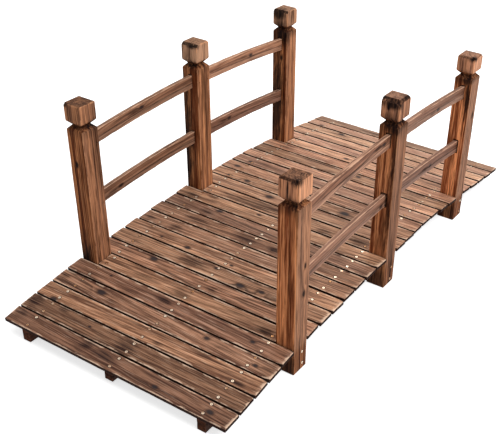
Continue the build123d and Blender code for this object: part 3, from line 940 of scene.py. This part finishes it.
def postRings(half, top, neckTop, bevels):
    # height and half widths (far, left, near, right) of the square section, with close steps where it turns
    groove, depth, ease = posts["grooveHeight"], posts["grooveDepth"], posts["arris"]
    neckBottom, neckMiddle = neckTop - groove, neckTop - groove / 2
    # the foot and the edges of the groove are eased
    profile = [(0.0, half - ease), (0.4 * ease, half - 0.4 * ease), (ease, half)]
    steps = round(neckBottom / posts["shaftStep"])
    profile += [(neckBottom * i / steps, half) for i in range(1, steps)]
    profile += [(neckBottom - 2 * ease, half), (neckBottom - ease, half - 0.1 * ease)]
    shares = posts["grooveShares"]
    profile += [(neckBottom + share * (neckMiddle - neckBottom), half - share * depth) for share in shares]
    shares = shares[::-1]
    profile += [(neckTop - share * (neckTop - neckMiddle), half - share * depth) for share in shares]
    profile += [(neckTop + ease, half - 0.1 * ease), (neckTop + 2 * ease, half)]
    sections = [(height, (width,) * 4) for height, width in profile]
    start, blockStart = top - max(bevels), neckTop + 2 * ease
    steps = round((start - neckTop) / posts["capStep"])
    sections += [(blockStart + (start - blockStart) * i / steps, (half,) * 4) for i in range(1, steps)]
    # one section at each bevel's start and close steps up the bevels, each depth taken once
    depths = [*bevels, *(posts["topStep"] * i for i in range(posts["topSteps"]))]
    turns = {round(depth / mm, 1) * mm for depth in depths if depth <= max(bevels)}
    for height in (top - depth for depth in sorted(turns, reverse=True)):
        sections.append((height, tuple(half - max(0.0, bevel - (top - height)) for bevel in bevels)))
    return sections


def squareRing(widths, arris):
    # points of a rectangle with rounded corners, anticlockwise from above, starting on the far side
    steps, cornerSteps = posts["sideSteps"], posts["cornerSteps"]
    far, left, near, right = widths
    corners = [Vector(spot) for spot in ((far, -right), (far, left), (-near, left), (-near, -right))]
    points = []
    for side, start in enumerate(corners):
        end = corners[(side + 1) % 4]
        along = (end - start).normalized() * arris
        points += [(start + along).lerp(end - along, i / steps) for i in range(steps + 1)]
        hub = end - along + Vector((-along.y, along.x))
        for step in range(1, cornerSteps + 1):
            angle = math.radians(90 * side + 90 * step / (cornerSteps + 1))
            points.append(hub + Vector((math.cos(angle), math.sin(angle))) * arris)
    return points


def bridgeRings(grid, lower, upper):
    # faces between two rings of as many points
    count = len(lower)
    for i in range(count):
        j = (i + 1) % count
        grid.faces.new((lower[i], lower[j], upper[j], upper[i]))


def meshFrom(name, grid):
    mesh = bpy.data.meshes.new(name)
    grid.to_mesh(mesh)
    grid.free()
    return mesh


def postShaft(name, half, top, neckTop, bevels, seed):
    grid = bmesh.new()
    rounds = []
    for height, widths in postRings(half, top, neckTop, bevels):
        play = max(0.0, noise.noise((height * posts["arrisWave"], seed, 0.0)))
        corners = squareRing(widths, posts["arris"] * (posts["leastArris"] + posts["arrisPlay"] * play))
        rounds.append([grid.verts.new((p.x, p.y, height)) for p in corners])
    lid = rounds[-1]
    far, left, near, right = widths
    middle = Vector(((far - near) / 2, (left - right) / 2, top))
    for share in posts["lidShares"]:
        rounds.append([grid.verts.new(middle.lerp(v.co, share)) for v in lid])
    for lower, upper in zip(rounds, rounds[1:]):
        bridgeRings(grid, lower, upper)
    grid.faces.new(list(reversed(rounds[0])))
    grid.faces.new(rounds[-1])
    for vertex in grid.verts:
        p = vertex.co
        spot = (p.x * posts["waveAcross"] + seed, p.y * posts["waveAcross"], p.z * posts["waveUp"])
        wave = abs(noise.noise(spot)) * posts["faceWave"]
        if posts["stillFoot"] < p.z < top - posts["stillTop"]:
            p -= Vector((p.x, p.y, 0)).normalized() * wave
    return meshFrom(name, grid)


def scoop(centre, radii):
    # a rounded lump that takes a bite out of a block
    grid = bmesh.new()
    bmesh.ops.create_icosphere(grid, subdivisions=2, radius=1.0)
    lumps, seedStep, roughness = posts["scoopRoughness"]
    for vertex in grid.verts:
        rough = 1 + roughness * noise.noise(vertex.co * lumps + centre * seedStep)
        vertex.co = Vector(r * c * rough for r, c in zip(radii, vertex.co)) + centre
    return addObject("scoop", meshFrom("scoop", grid))


def cutter(*ends):
    # a closed prism between two outlines of as many points
    grid = bmesh.new()
    first, second = [[grid.verts.new(point) for point in end] for end in ends]
    bridgeRings(grid, first, second)
    grid.faces.new(list(reversed(first)))
    grid.faces.new(second)
    bmesh.ops.recalc_face_normals(grid, faces=grid.faces)
    return addObject("cut", meshFrom("cut", grid))


def pocket(centre, size):
    # a slot with rounded corners, long axis along X
    corner, steps = mortises["corner"], mortises["cornerSteps"]
    hubY, hubZ = size.y / 2 - corner, size.z / 2 - corner
    outline = []
    for quarter, (sideY, sideZ) in enumerate(((1, 1), (-1, 1), (-1, -1), (1, -1))):
        for step in range(steps + 1):
            angle = math.radians(90 * quarter + 90 * step / steps)
            outline.append((sideY * hubY + corner * math.cos(angle), sideZ * hubZ + corner * math.sin(angle)))
    return cutter(*([(centre.x + x, centre.y + y, centre.z + z) for y, z in outline]
                    for x in (-size.x / 2, size.x / 2)))


def drill(centre, depth):
    # a round hole along Y
    radius, sides = mortises["holeRadius"], mortises["holeSides"]
    angles = [math.tau * i / sides for i in range(sides)]
    outline = [(radius * math.cos(angle), radius * math.sin(angle)) for angle in angles]
    return cutter(*([(centre.x + x, centre.y + y, centre.z + z) for x, z in outline]
                    for y in (-depth / 2, depth / 2)))


def jointCutters(name, centre, half):
    # the mortise and the drilled hole of every rail end that this post holds
    side = 1 if centre.y > 0 else -1
    spare = mortises["spare"]
    found = []
    for rail in railNames:
        low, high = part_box(rail)
        centreZ, topRadius, bottomRadius = railArc(rail)
        for end, facing in ((low.x, 1), (high.x, -1)):
            if low.y * side < 0 or abs(end - centre.x) > half:
                continue
            face = centre.x + facing * half
            deep = face - facing * mortises["depth"]
            sideRoom, topRoom = looseMortises.get((name, rail), (0, 0))
            roof = max(arcZ(centreZ, topRadius, x) for x in (face, deep)) + mortises["topRoom"] + topRoom * mm
            floor = min(arcZ(centreZ, bottomRadius, x) for x in (face, deep)) - mortises["floorRoom"]
            middleX = (face + facing * spare + deep) / 2
            middle = Vector((middleX, centre.y - sideRoom / 2 * mm, (roof + floor) / 2))
            width = high.y - low.y + 2 * mortises["sideRoom"] + sideRoom * mm
            found.append(pocket(middle, Vector((mortises["depth"] + spare, width, roof - floor))))
            holeX = centre.x + facing * (half - mortises["holeInset"])
            holeZ = arcZ(centreZ, (topRadius + bottomRadius) / 2, holeX)
            holeY = centre.y - side * (half + spare) / 2
            found.append(drill(Vector((holeX, holeY, holeZ)), half + spare))
    return found


def carved(name, draft, centre, half, top):
    # the shaft with its mortises, holes and knife scoops cut
    axisTop = Vector((centre.x, centre.y, top))
    tools = jointCutters(name, centre, half)
    tools += [scoop(axisTop + Vector(spot) * mm, Vector(radii) * mm) for spot, radii in postScoops[name]]
    for tool in tools:
        cut = draft.modifiers.new("cut", "BOOLEAN")
        cut.operation, cut.object, cut.solver = "DIFFERENCE", tool, "EXACT"
    piece = settled(draft, pieceName(name))
    for tool in tools:
        bpy.data.objects.remove(tool)
    mesh = piece.data
    mesh.materials.clear()
    mesh.materials.append(postWood)
    mesh.polygons.foreach_set("material_index", np.zeros(len(mesh.polygons), np.int32))
    mesh.polygons.foreach_set("use_smooth", np.ones(len(mesh.polygons), bool))
    mesh.set_sharp_from_angle(angle=math.radians(posts["sharpAngle"]))
    return piece


def shareOf(value, whole):
    return np.clip(value / whole, 0, 1)


def postWear(name, place, z, half, top, neckTop, bevels):
    # how faded and how burnt each point is, with painted sheen on the right face and painted shade in the
    # cuts and at the feet; place is measured from the post's middle: up, along and across
    weather = postWeather
    rightSheen, rightChar = postTones[name][1:]
    blockFade, lidFade, lidChar, bevelChar = blockLooks[name]
    neckBottom, neckMiddle = neckTop - posts["grooveHeight"], neckTop - posts["grooveHeight"] / 2
    below = top - z
    inBlock = z > neckTop - weather["skin"]
    onLid = below < weather["lidSkin"]
    onRight, onNear = place[:, 2] < weather["skin"] - half, place[:, 1] < weather["skin"] - half
    onLeft = place[:, 2] > half - weather["skin"]
    # how deep each point lies under the face of each side, on the bevel too
    reaches = np.stack([place[:, 1], place[:, 2], -place[:, 1], -place[:, 2]])
    slopes = np.array(bevels)[:, None] - below
    depths = half - np.maximum(slopes, 0) - reaches
    depth = depths.min(axis=0)

    # painted sheen: the right face, which faces the key lamp, is blended towards the faded colour
    fade = np.where(onRight, rightSheen, np.where(onLeft, weather["leftFade"], 0.0))
    fade = np.where(inBlock, np.maximum(fade, blockFade), fade)
    fade = np.where(onLid, lidFade, fade)
    # painted shade: the right face is darker again below the deck, with its painted sheen taken off and the
    # scorch colour laid on near the ground
    atFoot = onRight * shareOf(weather["footReach"] - z, weather["footReach"] / 4)
    fade = fade * (1 - atFoot)
    rightChar = rightChar + (weather["rightFootChar"] - rightChar) * atFoot

    # painted shade: whatever is cut into the shaft, the mortises and the drilled holes, darkens with its
    # depth under the faces
    margin = weather["mortiseMargin"]
    inMortise = (z > margin) & (z < neckBottom - margin)
    char = np.where(inMortise, shareOf(depth, weather["mortiseDark"]), 0.0)
    char = np.maximum(char, np.where(onRight & ~inBlock, rightChar, 0.0))
    inScoop = inBlock & (below > weather["bevelSkin"])
    char = np.where(inScoop, shareOf(depth - weather["scoopRim"], weather["scoopDark"]), char)
    inNeck = (z > neckBottom) & (z < neckTop)
    neckDark = weather["neckChar"] * shareOf(depth, weather["neckDark"] * posts["grooveDepth"])
    char = np.where(inNeck, neckDark, char)
    # the burn on the shoulder runs out down the shaft
    underGroove, reach = neckMiddle + weather["shoulderLap"] - z, weather["shoulderReach"]
    runOut = np.where(underGroove > 0, shareOf(reach - underGroove, reach), 0.0)
    char = np.maximum(char, shoulderChar[name] * np.sqrt(runOut))
    # painted shade: the near face is darkest at the foot, near the ground
    nearFoot = weather["nearFootChar"] * shareOf(weather["footReach"] - z, weather["footReach"] / 2)
    char = np.maximum(char, np.where(onNear, nearFoot, 0.0))
    onBevel = (slopes > weather["bevelStart"]) & (depths < weather["bevelSkin"])
    onBevel &= below > weather["lidSkin"]
    char = np.maximum(char, (onBevel * np.array(bevelChar)[:, None]).max(axis=0))
    char = np.where(onLid, np.maximum(char, lidChar), char)
    return fade, char


def gardenPost(name, rng):
    centre, half, top, neckTop, bevels = postShape(name)
    mesh = postShaft(name, half, top, neckTop, bevels, rng.random() * posts["waveSeeds"])
    mesh.transform(Matrix.Translation((centre.x, centre.y, 0)))
    piece = carved(name, addObject("draft", mesh), centre, half, top)
    x, y, z = vertexArray(piece.data).T
    place = np.stack([z - top / 2, x - centre.x, y - centre.y], axis=1)
    storeVector(piece.data, "place", place)
    lift, spread = top / 2 / mm, postWeather["scorchSpread"]
    marks = [((up + lift, along, across), [size * part for part in postWeather["knotShape"]])
             for (along, across, up), size in postKnots[name]]
    scorches = [((up + lift, along, across), (tall * spread, wide * spread, deep * spread))
                for (along, across, up), (wide, deep, tall) in postScorches[name]]
    fade, char = postWear(name, place, z, half, top, neckTop, bevels)
    seed = (postTones[name][0], rng.random(), rng.random())
    dressTimber(piece, (top / 2, half, half), seed, marks, scorches, fade, char)
    finish(piece, name)


postRng = random.Random(posts["seed"])
for postName in postNames:
    gardenPost(postName, postRng)
print("posts made:", len(postNames))


# Screw heads

screws = {
    "headRadius": 3.7 * mm, "headHeight": 0.9 * mm, "slotLength": 4.2 * mm, "slotWidth": 1.0 * mm,
    "rimShare": 0.86, "slotLift": 0.8, "sides": 20, "sinkRadius": 5.4 * mm, "sinkHeight": 0.25 * mm,
    "sunk": 0.35 * mm, "rows": (-273 * mm, 0.0, 273 * mm), "shortRow": 266 * mm, "near": -12.5 * mm,
    "far": 17.5 * mm, "jitter": 1.6 * mm, "tilt": 0.05, "seed": 19,
}
# Screws through the post feet: shift along the bridge from the post's axis, and height, in millimetres
footScrews = {"near": [(7, 53), (9, 18)], "middle": [(11, 50), (8, 13)], "far": [(13, 52), (12, 15)]}


def screwTree():
    # a cross-slotted head in its sink, on every point, turned to the point's own facing and spin
    pen, source, sink = newGroup(
        "screwHeads", "GeometryNodeTree",
        {"Points": "Geometry", "Head Radius": 3.7 * mm, "Head Height": 1.0 * mm, "Slot Length": 4.2 * mm,
         "Slot Width": 1.1 * mm, "Sink Radius": 4.9 * mm, "Metal": "Material", "Sink": "Material"},
        {"Geometry": "Geometry"})

    def disc(topRadius, bottomRadius, height):
        return pen.add("GeometryNodeMeshCone", fill_type="NGON", named={
            "Vertices": screws["sides"], "Side Segments": 1, "Radius Top": topRadius,
            "Radius Bottom": bottomRadius, "Depth": height}).outputs["Mesh"]

    def painted(shape, material):
        return pen.add("GeometryNodeSetMaterial", named={"Geometry": shape, "Material": material}).outputs[0]

    def pointValue(name, kind):
        return pen.add("GeometryNodeInputNamedAttribute", data_type=kind, named={"Name": name}).outputs[0]

    rimRadius = pen.times(source["Head Radius"], screws["rimShare"])
    head = disc(rimRadius, source["Head Radius"], source["Head Height"])
    cross = pen.add("GeometryNodeMeshBoolean", operation="UNION")
    barSize = pen.join(source["Slot Length"], source["Slot Width"], source["Head Height"])
    barPlace = pen.join(0.0, 0.0, pen.times(source["Head Height"], screws["slotLift"]))
    for turn in (0.0, math.pi / 2):
        bar = pen.add("GeometryNodeMeshCube", named={"Size": barSize}).outputs["Mesh"]
        placed = pen.add("GeometryNodeTransform", named={
            "Geometry": bar, "Translation": barPlace, "Rotation": (0.0, 0.0, turn)})
        pen.tree.links.new(placed.outputs[0], cross.inputs["Mesh 2"])
    recessed = pen.add("GeometryNodeMeshBoolean", operation="DIFFERENCE")
    pen.tree.links.new(head, recessed.inputs["Mesh 1"])
    pen.tree.links.new(cross.outputs[0], recessed.inputs["Mesh 2"])
    raised = pen.add("GeometryNodeTransform", named={
        "Geometry": painted(recessed.outputs[0], source["Metal"]),
        "Translation": (0.0, 0.0, -screws["sunk"])})
    # the collar is a flat dark ring of painted shade, standing for the countersink around the head in shadow
    collar = disc(source["Head Radius"], source["Sink Radius"], screws["sinkHeight"])
    single = pen.add("GeometryNodeJoinGeometry")
    for part in (raised.outputs[0], painted(collar, source["Sink"])):
        pen.tree.links.new(part, single.inputs[0])
    upright = pen.add("FunctionNodeAlignRotationToVector", axis="Z", named={
        "Vector": pointValue("facing", "FLOAT_VECTOR")}).outputs[0]
    spun = pen.add("FunctionNodeRotateRotation", rotation_space="LOCAL", named={
        "Rotation": upright, "Rotate By": pen.join(0.0, 0.0, pointValue("spin", "FLOAT"))}).outputs[0]
    copies = pen.add("GeometryNodeInstanceOnPoints", named={
        "Points": source["Points"], "Instance": single.outputs[0], "Rotation": spun})
    real = pen.add("GeometryNodeRealizeInstances", named={"Geometry": copies.outputs[0]})
    pen.feed(sink["Geometry"], real.outputs[0])
    return pen.tree


def screwPoints(name, spots, rng):
    mesh = bpy.data.meshes.new(name)
    mesh.from_pydata([spot for spot, facing in spots], [], [])
    facings = []
    for spot, facing in spots:
        lean = Vector([wobble(rng, screws["tilt"]) for axis in range(3)])
        facings.append((facing + lean).normalized())
    storeVector(mesh, "facing", np.array(facings))
    spin = mesh.attributes.new("spin", "FLOAT", "POINT")
    spin.data.foreach_set("value", [rng.random() * math.pi for spot in spots])
    return mesh


def deckScrewSpots(rng):
    spots = []
    for name in deckNames:
        tilt, middle = boardTilt(name), boxCentre(name)
        up = Vector((math.sin(tilt), 0, math.cos(tilt)))
        along = Vector((math.cos(tilt), 0, -math.sin(tilt)))
        for row in screws["rows"]:
            y = math.copysign(screws["shortRow"], row) if row and betweenPosts(name) else row
            for step in (screws["near"], screws["far"]):
                x, side = (wobble(rng, screws["jitter"]) for axis in range(2))
                spot = middle + along * (step + x) + up * (boardThickness / 2)
                spots.append((Vector((spot.x, y + side, spot.z)), up))
    return spots


def footScrewSpots():
    spots = []
    for name in postNames:
        low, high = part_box(name)
        side, face = (1, high.y) if low.y > 0 else (-1, low.y)
        for shift, height in footScrews[name.split("_")[1]]:
            spot = Vector(((low.x + high.x) / 2 + shift * mm, face, height * mm))
            spots.append((spot, Vector((0, side, 0))))
    return spots


screwRng = random.Random(screws["seed"])
headTree = screwTree()
headValues = {
    "Head Radius": screws["headRadius"], "Head Height": screws["headHeight"],
    "Slot Length": screws["slotLength"], "Slot Width": screws["slotWidth"],
    "Sink Radius": screws["sinkRadius"], "Metal": platedScrew, "Sink": screwSink,
}
for screwName, spots in (("deckScrews", deckScrewSpots(screwRng)), ("footScrews", footScrewSpots())):
    heads = runTree(screwName, headTree, headValues, screwPoints(screwName, spots, screwRng))
    finish(heads, None)
    print(screwName, len(spots), "heads,", len(heads.data.polygons), "faces")


# Studio

studio = {"floorSize": 40.0, "floorDrop": 0.5 * mm, "floorGrey": 0.8, "floorGlow": 0.68, "ambient": 0.42}
# Each lamp: its spot, its size and its power
lamps = {"keyLamp": ((-0.5, -2.6, 3.6), 2.4, 128.0), "backLamp": ((2.8, 0.6, 3.0), 2.4, 60.0)}
white = (1.0, 1.0, 1.0, 1.0)


def seenDirectly(pen):
    # 1 for rays from the camera, from gloss and through glass
    path = pen.add("ShaderNodeLightPath").outputs
    return pen.largest(path["Is Camera Ray"], path["Is Glossy Ray"], path["Is Transmission Ray"])


def studioFloor():
    mesh = bpy.data.meshes.new("studioFloor")
    half, drop = studio["floorSize"] / 2, -studio["floorDrop"]
    corners = [(-half, -half, drop), (half, -half, drop), (half, half, drop), (-half, half, drop)]
    mesh.from_pydata(corners, [], [(0, 1, 2, 3)])
    floor = addObject("studioFloor", mesh)
    material, pen = newMaterial("whiteFloor")[:2]
    pen.tree.nodes.remove(pen.tree.nodes["Principled BSDF"])
    matt = pen.add("ShaderNodeBsdfDiffuse", (*(studio["floorGrey"],) * 3, 1.0))
    glow = pen.add("ShaderNodeEmission", white, pen.times(seenDirectly(pen), studio["floorGlow"]))
    both = pen.add("ShaderNodeAddShader", matt.outputs[0], glow.outputs[0])
    pen.feed(pen.tree.nodes["Material Output"].inputs["Surface"], both.outputs[0])
    mesh.materials.append(material)


def studioWorld():
    world = bpy.data.worlds.new("studioWorld")
    world.use_nodes = True
    bpy.context.scene.world = world
    pen = NodePen(world.node_tree)
    background = world.node_tree.nodes["Background"]
    background.inputs["Color"].default_value = white
    pen.feed(background.inputs["Strength"], pen.largest(seenDirectly(pen), studio["ambient"]))


def softLamp(name, spot, size, power):
    lamp = bpy.data.lights.new(name, "AREA")
    lamp.shape, lamp.size, lamp.energy = "DISK", size, power
    holder = addObject(name, lamp)
    holder.location = spot
    holder.rotation_euler = (-Vector(spot)).to_track_quat("-Z", "Y").to_euler()


studioFloor()
studioWorld()
for lampName, values in lamps.items():
    softLamp(lampName, *values)


# Camera, worked out from the corners and edges of the photograph

view = {
    "spot": (-1.8298, -1.2068, 1.4118), "azimuth": 58.06, "elevation": -34.085, "roll": 2.066,
    "photoWidth": 497, "photoHeight": 434, "focalPixels": 893.4, "centreX": 304.35, "centreY": 265.53,
    "filmWidth": 36.0, "clipEnd": 100.0,
}


def photoCamera():
    width, height = view["photoWidth"], view["photoHeight"]
    lens = bpy.data.cameras.new("photoCamera")
    lens.sensor_fit, lens.sensor_width = "HORIZONTAL", view["filmWidth"]
    lens.lens = view["focalPixels"] / width * view["filmWidth"]
    lens.shift_x = (width / 2 - view["centreX"]) / width
    lens.shift_y = (view["centreY"] - height / 2) / width
    lens.clip_end = view["clipEnd"]
    camera = addObject("photoCamera", lens)
    turn = Matrix.Rotation(math.radians(-view["azimuth"]), 4, "Z")
    lift = Matrix.Rotation(math.radians(90 + view["elevation"]), 4, "X")
    roll = Matrix.Rotation(math.radians(view["roll"]), 4, "Z")
    camera.matrix_world = Matrix.Translation(view["spot"]) @ turn @ lift @ roll
    bpy.context.scene.camera = camera


photoCamera()
bpy.context.scene.view_settings.view_transform = "Standard"
print("studio and camera ready")
